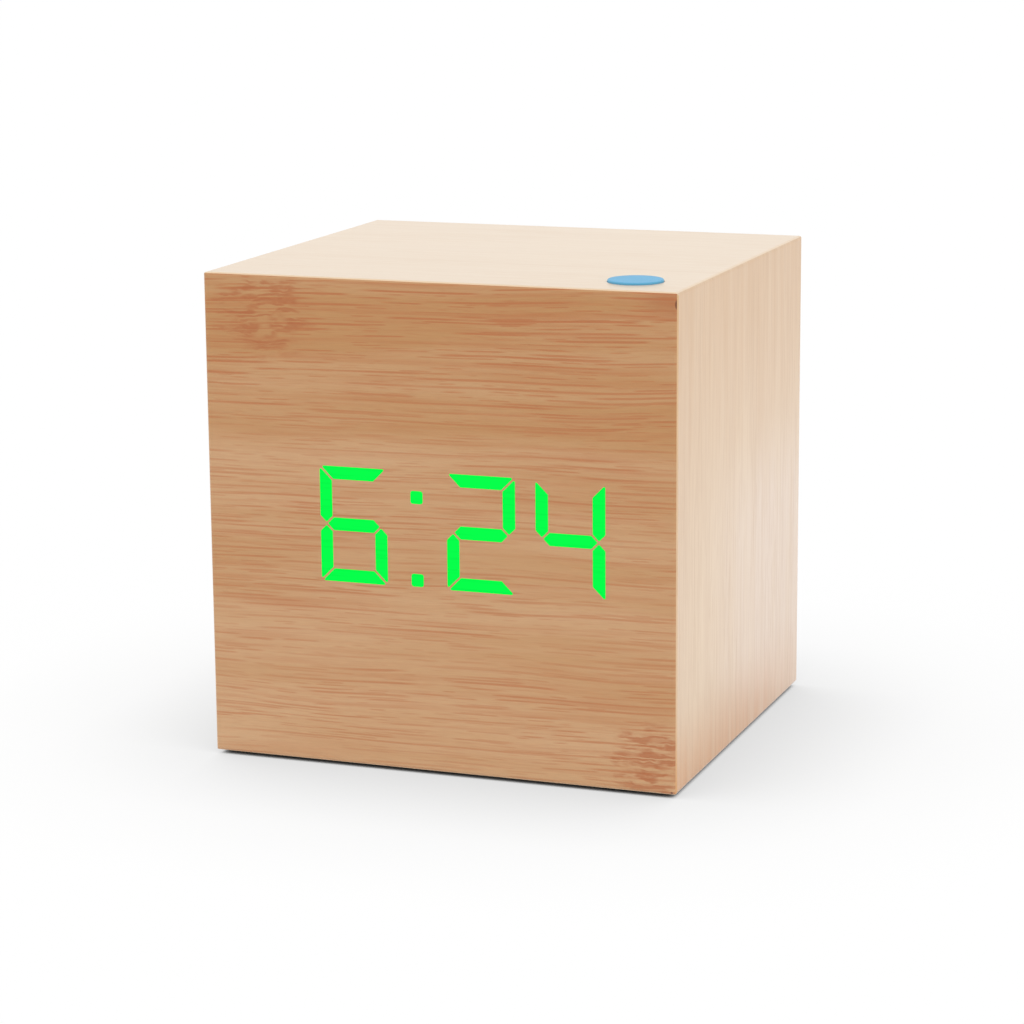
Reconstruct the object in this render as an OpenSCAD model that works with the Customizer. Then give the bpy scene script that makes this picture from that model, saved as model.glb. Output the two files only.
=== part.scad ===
// Led cube alarm clock: a wood-veneered cube with digits that shine through its front,
// a low push button on top, and a moulded rear cover with keys, power socket and battery bay.
// Millimetres. The front faces -Y, up is +Z, and the origin is on the table under the case's middle.

/* [Case] */
// Width of the case over its veneer
case_w = 64; // [57:1:80]
// Depth of the case over its veneer
case_d = 58; // [50:1:80]
// Height of the case over its veneer, without the feet
case_h = 64; // [57:1:80]
// Rounding of the case's edges
edge_r = 0.5; // [0.3:0.1:1]
// Thickness of the veneer
veneer_t = 0.6; // [0.4:0.1:0.8]
// Thickness of the case's boards, where the works leave room for it
board_t = 4; // [3:0.25:5]
// Thickness of the front board, which is also the display's depth
front_board_t = 4; // [3:0.5:6]
// Diameter of a foot
foot_d = 8; // [5:0.5:12]
// Thickness of a foot
foot_h = 0.5; // [0.5:0.1:3]
// Distance of a foot's middle from the case's sides
foot_inset = 8; // [6:0.5:14]

/* [Display] */
// Hour shown, on a 12-hour display
shown_hour = 6; // [1:1:12]
// Minute shown
shown_minute = 24; // [0:1:59]
// Height of a digit over its segments
digit_h = 15.2; // [12:0.2:18]
// Width of a digit over its segments
digit_w = 9.3; // [7:0.1:10]
// Width of a segment
segment_w = 1.7; // [1.2:0.1:2]
// Gap between neighbouring segments
segment_gap = 0.25; // [0.15:0.05:0.5]
// Rounding of the segments' corners
segment_r = 0.15; // [0.05:0.01:0.2]
// Distance between the middles of two digits
digit_pitch = 12; // [11:0.1:12.8]
// Extra distance between the two digits beside the colon
colon_space = 5.5; // [4:0.1:6.5]
// Place of the colon, measured to the right of the face's middle
colon_x = -2.75; // [-4:0.25:-1.5]
// Side of a colon dot
colon_dot = 1.7; // [1.2:0.05:2]
// Height of the upper colon dot over the display's middle
colon_up = 4.2; // [3:0.1:6]
// Depth of the lower colon dot under the display's middle
colon_down = 6.65; // [3:0.05:7]

/* [Snooze button] */
// Diameter of the button's cap
snooze_d = 7.1; // [5:0.1:8]
// Distance of the button's middle from the case's right side
snooze_side = 8; // [7.5:0.5:20]
// Distance of the button's middle from the case's front
snooze_front = 8; // [7.5:0.5:20]
// Height of the cap over the top
snooze_proud = 0.3; // [0.2:0.05:1]
// Travel of the cap
snooze_travel = 0.25; // [0.2:0.05:0.4]
// Depth of the cap under the top
snooze_cap_depth = 2.2; // [1.6:0.1:2.4]
// Diameter of the cap's stem
snooze_stem_d = 3; // [2:0.1:4]

/* [Rear cover] */
// Thickness of the cover's plate
cover_t = 2; // [1.6:0.1:3]
// Distance of the cover's face from the case's rear end
cover_recess = 1; // [0.8:0.1:2]
// Diameter of a key
key_d = 5; // [4:0.1:5.6]
// Height of a key over the cover
key_proud = 0.6; // [0.4:0.1:0.7]
// Travel of a key
key_travel = 0.3; // [0.2:0.05:0.4]
// Distance between the middles of neighbouring keys
key_pitch = 8.5; // [8:0.1:8.8]
// Bore of the power socket
jack_bore_d = 3.6; // [3.5:0.1:4]
// Diameter of the power socket's centre pin
jack_pin_d = 1.3; // [1:0.1:1.4]
// Diameter of the power socket's nose
jack_nose_d = 5.8; // [5.4:0.1:6.2]
// Diameter of a cover screw's shank
cover_screw_d = 2; // [1.6:0.1:2.4]
// Length of a cover screw
cover_screw_l = 10; // [8:0.5:12]

/* [Battery bay] */
// Diameter of a cell
cell_d = 10.5; // [10:0.1:10.6]
// Length of a cell over its nub
cell_l = 44.5; // [43:0.1:44.8]
// Distance between the middles of neighbouring cells
cell_pitch = 11.1; // [11:0.1:11.3]
// Length of a pressed contact spring
spring_l = 3; // [2.8:0.1:3.2]
// Thickness of the bay's walls
bay_wall = 1.5; // [1.2:0.1:1.6]
// Thickness of the battery door
door_t = 1.6; // [1.4:0.1:2]
// Diameter of the door's hinge pins
hinge_pin_d = 1; // [0.8:0.1:1.1]

/* [Circuit boards and wiring] */
// Thickness of the circuit boards
pcb_t = 1.2; // [0.8:0.1:1.6]
// Side of a push switch
switch_w = 4.5; // [4:0.1:4.8]
// Height of a push switch's body
switch_h = 3.2; // [2.5:0.1:4]
// Width of the ribbon cable
ribbon_w = 8; // [6:0.5:9]
// Thickness of the ribbon cable
ribbon_t = 0.9; // [0.6:0.1:1.2]
// Diameter of a battery lead
lead_d = 1.2; // [0.8:0.1:1.5]

/* [Hidden] */
$fn = 48;

// Clearances
board_fit = 0.15;
screw_fit = 0.05;
sliding_fit = 0.08;
press_play = 0.02;
cover_gap = 0.2;
door_gap = 0.2;
cell_gap = 0.3;
lead_gap = 0.05;

// The case's planes
half_w = case_w / 2;
half_d = case_d / 2;
floor_z = foot_h;
roof_z = foot_h + case_h;
mid_z = foot_h + case_h / 2;
board_w = half_w - veneer_t;
board_lo = floor_z + veneer_t;
board_hi = roof_z - veneer_t;
board_front = -half_d + veneer_t;
board_rear = half_d - veneer_t;
window_back = board_front + front_board_t;

// The battery bay's sizes
strip_t = 0.4;
strip_w = 9;
cell_count = 3;
nub_d = 3.8;
nub_l = 1;
bay_rim = 3;
ledge = 0.8;
ledge_gap = 0.15;
hinge_pin_l = 0.8;
hinge_cover = 0.25;
bay_half = (cell_l + spring_l) / 2 + strip_t;
bay_h = (cell_count - 1) * cell_pitch + cell_d + 2 * cell_gap;
open_w = bay_half + ledge;

// The room that the works take between the boards, and the boards that are left beside them
main_pcb_h = 5.8;
main_pcb_play = 0.5;
top_share = 0.55;
works_w = open_w + hinge_pin_l + hinge_cover + cover_gap;
works_h = bay_rim + bay_h + bay_wall + 2 * (main_pcb_h + main_pcb_play + cover_gap);
side_t = min(board_t, board_w - works_w);
top_t = min(board_t, (board_hi - board_lo - works_h) * top_share);
bottom_t = min(board_t, board_hi - board_lo - works_h - top_t);
inner_w = board_w - side_t;
inner_lo = board_lo + bottom_t;
inner_hi = board_hi - top_t;

// The display's places
hour_x = colon_x - (digit_pitch + colon_space) / 2;
tens_x = colon_x + (digit_pitch + colon_space) / 2;
ones_x = tens_x + digit_pitch;
one_x = hour_x - digit_pitch;
display_rim = 1.2;
display_left = one_x + digit_w / 2 - segment_w;
display_right = ones_x + digit_w / 2;
display_mid = (display_left + display_right) / 2;
reflector_w = display_right - display_left + 2 * display_rim;
reflector_h = digit_h + 2 * display_rim;
display_ear = 4;
display_pcb_w = reflector_w + display_rim;
display_pcb_h = reflector_h + 2 * display_ear;
display_back = window_back + pcb_t;
led_w = 1;
led_h = 0.6;
led_gap = 0.2;
glow_back = window_back - led_h - led_gap;

// Small screws of the circuit boards
pcb_screw_d = 1.4;
pcb_screw_head_d = 3;
pcb_screw_head_h = 1;
pcb_screw_bite = 3.2;
screw_edge = 2.2;
display_screw_x = display_pcb_w / 2 - screw_edge;
display_screw_z = display_pcb_h / 2 - screw_edge;

// Push switches
plunger_d = 3;
plunger_rise = 0.8;
plunger_sunk = 0.4;
plunger_spare = 0.2;

// The snooze button's places
snooze_x = half_w - snooze_side;
snooze_y = -half_d + snooze_front;
snooze_under = 0.25;
snooze_seat = snooze_cap_depth + snooze_travel + snooze_under;
snooze_edge = 0.1;
ring_w = 1.1;
ring_d = snooze_stem_d + 2 * ring_w;
ring_t = 0.8;
ring_play = 0.05;
stem_tip = 0.5;
stem_end = inner_hi - ring_play - ring_t - stem_tip;
snooze_pcb_top = stem_end - plunger_rise - switch_h;
snooze_pcb_w = 5;
post_d = 4;
post_gap = 2.75;
post_step = 6;
first_post = switch_w / 2 + post_gap + post_d / 2;
snooze_pcb_edge = 0.4;
snooze_pcb_end = 2.5;
snooze_pcb_right = switch_w / 2 + snooze_pcb_edge;
snooze_pcb_left = first_post + post_step + post_d / 2 + snooze_pcb_end;
snooze_bite = 0.6 * top_t;

// The rear cover's places
cover_out = half_d - cover_recess;
cover_in = cover_out - cover_t;
cover_w = inner_w - cover_gap;
cover_lo = inner_lo + cover_gap;
cover_hi = inner_hi - cover_gap;
block_w = 6;
block_l = 12;
cover_screw_x = inner_w - block_w / 2;
cover_screw_z = inner_hi - block_w / 2;
cover_screw_head_d = cover_screw_d * 2.1;
cover_screw_head_h = cover_screw_d * 0.55;
hook_x = 14;
hook_w = 6;
hook_set = 0.4;
hook_t = cover_t - 2 * hook_set;
hook_reach = 1.6;

// The battery bay's places
bay_lo = cover_lo + bay_rim;
bay_hi = bay_lo + bay_h;
cell_y = cover_out - door_t - cell_gap - cell_d / 2;
bay_floor = cell_y - cell_d / 2 - cell_gap;
bay_front = bay_floor - bay_wall;
bay_top = bay_hi + bay_wall;
open_lo = bay_lo - ledge;
open_hi = bay_hi + ledge;
ledge_y = cover_out - door_t - ledge_gap;
door_w = open_w - door_gap;
door_lo = open_lo + door_gap;
door_hi = open_hi - door_gap;
hinge_y = cover_out - door_t / 2;
hinge_z = door_lo + door_t / 2;
tail_w = 2;
tail_l = 2;
tail_end = bay_front - tail_l;

// The control row's places: three keys and the power socket share one pitch
key_z = (bay_top + cover_hi) / 2;
key_xs = [1.5 * key_pitch, 0.5 * key_pitch, -0.5 * key_pitch];
jack_x = -1.5 * key_pitch;
flange_w = 0.8;
flange_t = 0.8;
flange_play = 0.1;
key_foot = 0.3;
key_edge = 0.25;
key_back = cover_in - flange_play - flange_t - key_foot;
main_rear = key_back - plunger_rise - switch_h;
main_front = main_rear - pcb_t;
main_pcb_end = 7.25;
main_pcb_w = 1.5 * key_pitch + main_pcb_end;
boss_d = 3.2;
boss_x = main_pcb_w - screw_edge;
boss_z = main_pcb_h - screw_edge;
mark_t = 0.1;
mark_share = 0.3;

// The main board's front side
socket_wall = 1;
socket_w = ribbon_w + 2 * socket_wall;
socket_h = 4.5;
socket_d = 4;
socket_x = -10.5;
buzzer_d = 9;
buzzer_h = 5.5;
buzzer_x = 11;
chip_l = 8.7;
chip_w = 3.9;
chip_t = 1.6;
crystal_d = 2;
crystal_l = 6;
capacitor_d = 3.6;
capacitor_l = 5.4;
lead_row = 4.5;
ribbon_drop = 3;
ribbon_z = mid_z - ribbon_drop;
driver_w = 7.8;

// The segments that each figure lights, and the seven segments of a digit
FIGURES = ["abcdef", "bc", "abdeg", "abcdg", "bcfg", "acdfg", "acdefg", "abc", "abcdefg", "abcdfg"];
ALL_SEGMENTS = "abcdefg";

// A box between two corners
module block(low, high) {
    translate(low)
        cube(high - low);
}

// A flat shape drawn in X and Z, as a slab between two depths
module slab(y0, y1) {
    translate([0, y1, 0])
        rotate([90, 0, 0])
            linear_extrude(y1 - y0)
                children();
}

// A round bar along Y
module bar(x, z, d, y0, y1) {
    translate([x, y0, z])
        rotate([-90, 0, 0])
            cylinder(d = d, h = y1 - y0);
}

// Children at all four corners of a rectangle in X and Z
module corners_xz(dx, dz) {
    for (sx = [-1, 1], sz = [-1, 1])
        translate([sx * dx, 0, sz * dz])
            children();
}

// A rectangle round its middle with round corners
module round_rect(w, h, r) {
    square([w - 2 * r, h], center = true);
    square([w, h - 2 * r], center = true);
    for (sx = [-1, 1], sy = [-1, 1])
        translate([sx * (w / 2 - r), sy * (h / 2 - r)])
            circle(r);
}

// The case's outside, with every edge rounded
module outer_form() {
    translate([0, 0, mid_z])
        intersection() {
            linear_extrude(case_h, center = true)
                round_rect(case_w, case_d, edge_r);
            rotate([90, 0, 0])
                linear_extrude(case_d, center = true)
                    round_rect(case_w, case_h, edge_r);
            rotate([90, 0, 90])
                linear_extrude(case_w, center = true)
                    round_rect(case_d, case_h, edge_r);
        }
}

// A slab's section, mitred at both ends
function mitred(w, t) = [[-w / 2, 0], [w / 2, 0], [w / 2 - t, -t], [t - w / 2, -t]];

// A sheet whose outer face looks along +Z, mitred at its four edges
module mitred_sheet(w, h) {
    intersection() {
        rotate([90, 0, 0])
            linear_extrude(h, center = true)
                polygon(mitred(w, veneer_t));
        rotate([90, 0, 90])
            linear_extrude(w, center = true)
                polygon(mitred(h, veneer_t));
    }
}

// One side's veneer: where its face lies, how it is turned, and its size
module veneer(place, turn, w, h) {
    intersection() {
        outer_form();
        translate(place)
            rotate(turn)
                mitred_sheet(w, h);
    }
}

module front_veneer() {
    color("burlywood")
        difference() {
            veneer([0, -half_d, mid_z], [90, 0, 0], case_w, case_h);
            segment_prisms(-half_d - veneer_t, window_back, true);
            segment_prisms(-half_d - veneer_t, window_back, false);
        }
}

module top_veneer() {
    color("burlywood")
        difference() {
            veneer([0, 0, roof_z], [0, 0, 0], case_w, case_d);
            snooze_well();
        }
}

module left_veneer() {
    color("burlywood")
        veneer([-half_w, 0, mid_z], [90, 0, -90], case_d, case_h);
}

module right_veneer() {
    color("burlywood")
        veneer([half_w, 0, mid_z], [90, 0, 90], case_d, case_h);
}

module bottom_veneer() {
    color("burlywood")
        veneer([0, 0, floor_z], [180, 0, 0], case_w, case_d);
}

module rear_edge_band() {
    color("burlywood")
        difference() {
            veneer([0, half_d, mid_z], [90, 0, 180], case_w, case_h);
            block([-inner_w, 0, inner_lo], [inner_w, case_d, inner_hi]);
        }
}

// The boards of the case's sleeve meet in mitres along its four long edges
module front_board() {
    color("peru")
        difference() {
            block([-inner_w, board_front, inner_lo], [inner_w, window_back, inner_hi]);
            slab(board_front - front_board_t, window_back + front_board_t)
                translate([display_mid, mid_z])
                    square([reflector_w + 2 * board_fit, reflector_h + 2 * board_fit], center = true);
            translate([display_mid, 0, mid_z])
                corners_xz(display_screw_x, display_screw_z)
                    bar(0, 0, pcb_screw_d + 2 * screw_fit, window_back - pcb_screw_bite, display_back);
        }
}

module top_board() {
    color("peru")
        difference() {
            slab(board_front, board_rear)
                polygon([[-board_w, board_hi], [board_w, board_hi], [inner_w, inner_hi], [-inner_w, inner_hi]]);
            snooze_well();
            translate([snooze_x, snooze_y, inner_hi - top_t])
                cylinder(d = snooze_stem_d + 2 * sliding_fit, h = 2 * top_t);
            snooze_post_places()
                translate([0, 0, inner_hi - top_t])
                    cylinder(d = pcb_screw_d + 2 * screw_fit, h = top_t + snooze_bite);
        }
}

module bottom_board() {
    color("peru")
        difference() {
            slab(board_front, board_rear)
                polygon([[-board_w, board_lo], [board_w, board_lo], [inner_w, inner_lo], [-inner_w, inner_lo]]);
            hooks(board_fit);
        }
}

module left_board() {
    color("peru")
        slab(board_front, board_rear)
            polygon([[-board_w, board_lo], [-board_w, board_hi], [-inner_w, inner_hi], [-inner_w, inner_lo]]);
}

module right_board() {
    color("peru")
        slab(board_front, board_rear)
            polygon([[board_w, board_lo], [board_w, board_hi], [inner_w, inner_hi], [inner_w, inner_lo]]);
}

module corner_blocks() {
    color("tan")
        for (side = [-1, 1])
            difference() {
                translate([side * cover_screw_x, cover_in - block_l / 2, cover_screw_z])
                    cube([block_w, block_l, block_w], center = true);
                bar(side * cover_screw_x, cover_screw_z, cover_screw_d + 2 * screw_fit,
                    cover_out - cover_screw_l, cover_out);
            }
}

module feet() {
    color("dimgray")
        for (sx = [-1, 1], sy = [-1, 1])
            translate([sx * (half_w - foot_inset), sy * (half_d - foot_inset), 0])
                cylinder(d = foot_d, h = foot_h);
}

// The corner of an outline as a short arc that touches both of its sides
function corner_arc(before, at, after, r) =
    let (
        u = (before - at) / norm(before - at),
        v = (after - at) / norm(after - at),
        half_angle = acos(u * v) / 2,
        middle = at + (u + v) / norm(u + v) * r / sin(half_angle),
        from = at + u * r / tan(half_angle) - middle,
        to = at + v * r / tan(half_angle) - middle,
        between = -(u + v) / norm(u + v) * r
    ) [middle + from, middle + between, middle + to];

// An outline with all its corners rounded
function rounded(points, r) =
    let (n = len(points))
        [for (i = [0:n - 1]) each corner_arc(points[(i + n - 1) % n], points[i], points[(i + 1) % n], r)];

// Outlines round a digit's middle: the top bar, the upper left bar and the middle bar
mitre_gap = segment_gap / sqrt(2);
bar_out = digit_w / 2;
bar_top = digit_h / 2;
top_bar = [
    [mitre_gap - bar_out, bar_top], [bar_out - mitre_gap, bar_top],
    [bar_out - segment_w - mitre_gap, bar_top - segment_w],
    [segment_w + mitre_gap - bar_out, bar_top - segment_w]
];
upper_left_bar = [
    [-bar_out, bar_top - mitre_gap], [segment_w - bar_out, bar_top - segment_w - mitre_gap],
    [segment_w - bar_out, segment_w / 2 + mitre_gap], [segment_w / 2 - bar_out, mitre_gap],
    [-bar_out, segment_w / 2 + mitre_gap]
];
middle_bar = [
    [segment_w / 2 + mitre_gap - bar_out, 0], [segment_w + mitre_gap - bar_out, segment_w / 2],
    [bar_out - segment_w - mitre_gap, segment_w / 2], [bar_out - segment_w / 2 - mitre_gap, 0],
    [bar_out - segment_w - mitre_gap, -segment_w / 2], [segment_w + mitre_gap - bar_out, -segment_w / 2]
];

function flipped(points, sx, sz) = [for (p = points) [sx * p[0], sz * p[1]]];

// Outline and middle of a segment by its letter
function segment_outline(letter) =
    letter == "a" ? top_bar
    : letter == "b" ? flipped(upper_left_bar, -1, 1)
    : letter == "c" ? flipped(upper_left_bar, -1, -1)
    : letter == "d" ? flipped(top_bar, 1, -1)
    : letter == "e" ? flipped(upper_left_bar, 1, -1)
    : letter == "f" ? upper_left_bar
    : middle_bar;

function segment_middle(letter) =
    let (
        side = len(search(letter, "bc")) > 0 ? 1 : len(search(letter, "ef")) > 0 ? -1 : 0,
        row = letter == "a" ? 2 : letter == "d" ? -2
            : len(search(letter, "bf")) > 0 ? 1 : len(search(letter, "ce")) > 0 ? -1 : 0
    ) [side * (bar_out - segment_w / 2), row * (bar_top - segment_w / 2) / 2];

// The display's digits: place, segments that exist, segments that shine
DIGITS = [
    [one_x, "bc", shown_hour > 9 ? "bc" : ""],
    [hour_x, ALL_SEGMENTS, FIGURES[shown_hour % 10]],
    [tens_x, ALL_SEGMENTS, FIGURES[floor(shown_minute / 10)]],
    [ones_x, ALL_SEGMENTS, FIGURES[shown_minute % 10]]
];
COLON = [[colon_x, colon_up], [colon_x, -colon_down]];

// All segments that shine, or all that don't, as upright prisms between two depths
module segment_prisms(y0, y1, shining) {
    slab(y0, y1)
        translate([0, mid_z]) {
            for (digit = DIGITS, letter = digit[1])
                if ((len(search(letter, digit[2])) > 0) == shining)
                    translate([digit[0], 0])
                        polygon(rounded(segment_outline(letter), segment_r));
            if (shining)
                for (dot = COLON)
                    translate(dot)
                        polygon(rounded(colon_dot / 2 * [[-1, -1], [1, -1], [1, 1], [-1, 1]], 2 * segment_r));
        }
}

module lit_segments() {
    color("lime")
        segment_prisms(-half_d, glow_back, true);
}

module unlit_segments() {
    color("tan")
        segment_prisms(-half_d, glow_back, false);
}

module display_reflector() {
    color("white")
        difference() {
            slab(board_front, window_back)
                translate([display_mid, mid_z])
                    square([reflector_w, reflector_h], center = true);
            segment_prisms(-half_d, half_d, true);
            segment_prisms(-half_d, half_d, false);
        }
}

module display_pcb() {
    color("seagreen")
        difference() {
            slab(window_back, display_back)
                translate([display_mid, mid_z])
                    square([display_pcb_w, display_pcb_h], center = true);
            translate([display_mid, 0, mid_z])
                corners_xz(display_screw_x, display_screw_z)
                    bar(0, 0, pcb_screw_d + 2 * screw_fit, window_back - pcb_t, display_back + pcb_t);
        }
}

// One led under the middle of every segment and dot
module display_leds() {
    color("lightyellow")
        slab(window_back - led_h, window_back)
            translate([0, mid_z]) {
                for (digit = DIGITS, letter = digit[1])
                    translate([digit[0], 0] + segment_middle(letter))
                        square(led_w, center = true);
                for (dot = COLON)
                    translate(dot)
                        square(led_w, center = true);
            }
}

module display_driver() {
    color("black")
        block([display_mid + chip_w, display_back, mid_z - chip_l / 2],
            [display_mid + chip_w + driver_w, display_back + chip_t, mid_z + chip_l / 2]);
}

// A pan-head screw for a circuit board, driven along -Y, with its head's seat at the origin
module pcb_screw(grip) {
    bar(0, 0, pcb_screw_d, -grip, 0);
    difference() {
        bar(0, 0, pcb_screw_head_d, 0, pcb_screw_head_h);
        cross_recess(pcb_screw_head_d, pcb_screw_head_h);
    }
}

// The cross cut into a screw's head whose face lies at a height along Y, in shares of the head
module cross_recess(head_d, face_y) {
    span = 0.55;
    depth = 0.15;
    slot = 0.12;
    for (turn = [0, 90])
        translate([0, face_y, 0])
            rotate([0, turn, 0])
                cube(head_d * [span, 2 * depth, slot], center = true);
}

module display_screws() {
    color("silver")
        translate([display_mid, display_back, mid_z])
            corners_xz(display_screw_x, display_screw_z)
                pcb_screw(pcb_t + pcb_screw_bite);
}

// The stepped well that takes the snooze button's cap
module snooze_well() {
    translate([snooze_x, snooze_y, roof_z - snooze_seat])
        cylinder(d = snooze_d + 2 * sliding_fit, h = snooze_seat + snooze_proud);
}

module snooze_button() {
    color("steelblue")
        translate([snooze_x, snooze_y, 0])
            rotate_extrude()
                polygon([
                    [0, stem_end], [snooze_stem_d / 2, stem_end],
                    [snooze_stem_d / 2, roof_z - snooze_cap_depth],
                    [snooze_d / 2, roof_z - snooze_cap_depth],
                    [snooze_d / 2, roof_z + snooze_proud - snooze_edge],
                    [snooze_d / 2 - snooze_edge, roof_z + snooze_proud],
                    [0, roof_z + snooze_proud]
                ]);
}

// The ring on the stem stops the button from falling out
module snooze_ring() {
    color("silver")
        translate([snooze_x, snooze_y, inner_hi - ring_play - ring_t])
            difference() {
                cylinder(d = ring_d, h = ring_t);
                translate([0, 0, -ring_t])
                    cylinder(d = snooze_stem_d + 2 * press_play, h = 3 * ring_t);
            }
}

// A push switch standing on Z = 0, with a well for its plunger
module switch_body(travel) {
    well = plunger_sunk + travel + plunger_spare;
    difference() {
        translate([0, 0, switch_h / 2])
            cube([switch_w, switch_w, switch_h], center = true);
        translate([0, 0, switch_h - well])
            cylinder(d = plunger_d + 2 * sliding_fit, h = 2 * well);
    }
}

module switch_plunger() {
    translate([0, 0, switch_h - plunger_sunk])
        cylinder(d = plunger_d, h = plunger_sunk + plunger_rise);
}

module snooze_switch() {
    color("dimgray")
        translate([snooze_x, snooze_y, snooze_pcb_top])
            switch_body(snooze_travel);
}

module snooze_plunger() {
    color("black")
        translate([snooze_x, snooze_y, snooze_pcb_top])
            switch_plunger();
}

// The two posts stand in a row beside the switch
module snooze_post_places() {
    for (step = [0, 1])
        translate([snooze_x - first_post - step * post_step, snooze_y, 0])
            children();
}

module snooze_pcb() {
    color("seagreen")
        difference() {
            block([snooze_x - snooze_pcb_left, snooze_y - snooze_pcb_w / 2, snooze_pcb_top - pcb_t],
                [snooze_x + snooze_pcb_right, snooze_y + snooze_pcb_w / 2, snooze_pcb_top]);
            snooze_post_places()
                translate([0, 0, snooze_pcb_top - 2 * pcb_t])
                    cylinder(d = pcb_screw_d + 2 * screw_fit, h = 3 * pcb_t);
        }
}

module snooze_posts() {
    color("white")
        snooze_post_places()
            difference() {
                translate([0, 0, snooze_pcb_top])
                    cylinder(d = post_d, h = inner_hi - snooze_pcb_top);
                translate([0, 0, snooze_pcb_top - pcb_t])
                    cylinder(d = pcb_screw_d + 2 * screw_fit, h = inner_hi - snooze_pcb_top + 2 * pcb_t);
            }
}

module snooze_screws() {
    color("silver")
        snooze_post_places()
            translate([0, 0, snooze_pcb_top - pcb_t])
                rotate([-90, 0, 0])
                    pcb_screw(inner_hi - snooze_pcb_top + pcb_t + snooze_bite);
}

// The hooks under the cover's lower edge, grown by a clearance for their slots
module hooks(grow) {
    for (side = [-1, 1])
        block([side * hook_x - hook_w / 2 - grow, cover_in + cover_t / 2 - hook_t / 2 - grow,
                inner_lo - hook_reach - grow],
            [side * hook_x + hook_w / 2 + grow, cover_in + cover_t / 2 + hook_t / 2 + grow,
                cover_lo + cover_gap]);
}

// A countersunk screw's outline along Y, from its face inwards
module countersunk(grow) {
    translate([0, cover_out, 0])
        rotate([90, 0, 0]) {
            cylinder(d1 = cover_screw_head_d + 2 * grow, d2 = cover_screw_d + 2 * grow,
                h = cover_screw_head_h);
            cylinder(d = cover_screw_d + 2 * grow, h = cover_screw_l);
        }
}

module cover_screw_places() {
    for (side = [-1, 1])
        translate([side * cover_screw_x, 0, cover_screw_z])
            children();
}

module main_pcb_screw_places() {
    translate([0, 0, key_z])
        corners_xz(boss_x, boss_z)
            children();
}

module sound_holes() {
    hole_d = 1.2;
    hole_step = 2.2;
    for (i = [-2:2])
        bar(i * hole_step, (key_z + key_d / 2 + cover_hi) / 2, hole_d, cover_in - cover_t, cover_out + cover_t);
}

module rear_cover() {
    thumb_d = 10;
    thumb_t = cover_t / 2;
    color("darkslategray")
        difference() {
            union() {
                block([-cover_w, cover_in, cover_lo], [cover_w, cover_out, cover_hi]);
                block([-bay_half - bay_wall, bay_front, bay_lo - bay_wall],
                    [bay_half + bay_wall, cover_out, bay_top]);
                hooks(0);
                main_pcb_screw_places()
                    bar(0, 0, boss_d, main_rear, cover_out);
            }
            block([-bay_half, bay_floor, bay_lo], [bay_half, 2 * cover_out, bay_hi]);
            block([-open_w, ledge_y, open_lo], [open_w, 2 * cover_out, open_hi]);
            translate([-open_w - hinge_pin_l, hinge_y, hinge_z])
                rotate([0, 90, 0])
                    cylinder(d = hinge_pin_d + 2 * screw_fit, h = 2 * (open_w + hinge_pin_l));
            bar(0, open_hi, thumb_d, cover_out - thumb_t, 2 * cover_out);
            for (x = key_xs)
                bar(x, key_z, key_d + 2 * sliding_fit, cover_in - cover_t, cover_out + cover_t);
            bar(jack_x, key_z, jack_nose_d + 2 * board_fit, cover_in - cover_t, cover_out + cover_t);
            sound_holes();
            cover_screw_places()
                countersunk(screw_fit);
            main_pcb_screw_places()
                bar(0, 0, pcb_screw_d + 2 * screw_fit, main_rear - pcb_t, main_rear + pcb_screw_bite);
            for (side = [-1, 1])
                tail(side, screw_fit);
        }
}

module cover_screws() {
    color("silver")
        cover_screw_places()
            difference() {
                countersunk(0);
                cross_recess(cover_screw_head_d, cover_out);
            }
}

module main_pcb() {
    color("seagreen")
        difference() {
            block([-main_pcb_w, main_front, key_z - main_pcb_h], [main_pcb_w, main_rear, key_z + main_pcb_h]);
            main_pcb_screw_places()
                bar(0, 0, pcb_screw_d + 2 * screw_fit, main_front - pcb_t, main_rear + pcb_t);
        }
}

module main_pcb_screws() {
    color("silver")
        translate([0, main_front, 0])
            main_pcb_screw_places()
                rotate([0, 0, 180])
                    pcb_screw(pcb_t + pcb_screw_bite);
}

module controller_chip() {
    color("black")
        block([-chip_l / 2, main_front - chip_t, key_z - chip_w / 2],
            [chip_l / 2, main_front, key_z + chip_w / 2]);
}

module clock_crystal() {
    color("silver")
        translate([-crystal_l / 2, main_front - crystal_d / 2 - lead_gap, key_z - lead_row])
            rotate([0, 90, 0])
                cylinder(d = crystal_d, h = crystal_l);
}

module buzzer() {
    mouth_d = 2;
    mouth_depth = 1;
    color("black")
        difference() {
            bar(buzzer_x, key_z, buzzer_d, main_front - buzzer_h, main_front);
            bar(buzzer_x, key_z, mouth_d, main_front - 2 * buzzer_h, main_front - buzzer_h + mouth_depth);
        }
}

module capacitor() {
    color("navy")
        bar(0, key_z + lead_row, capacitor_d, main_front - capacitor_l, main_front);
}

// The power socket: a square body on the board and a round nose in the cover's hole
jack_w = 6.4;
jack_mouth = cover_out - cover_recess / 4;
jack_base = 1;
jack_floor = main_rear + jack_base;
jack_body_top = cover_in - flange_play;
pin_root = 0.6;
pin_step = 0.2;
pin_root_d = jack_pin_d - 2 * pin_step;
pin_short = 1.2;

module power_socket() {
    color("black")
        difference() {
            union() {
                block([jack_x - jack_w / 2, main_rear, key_z - jack_w / 2],
                    [jack_x + jack_w / 2, jack_body_top, key_z + jack_w / 2]);
                bar(jack_x, key_z, jack_nose_d, main_rear, jack_mouth);
            }
            bar(jack_x, key_z, jack_bore_d, jack_floor, cover_out + cover_t);
            bar(jack_x, key_z, pin_root_d + 2 * press_play, jack_floor - pin_root, cover_out);
        }
}

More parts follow.
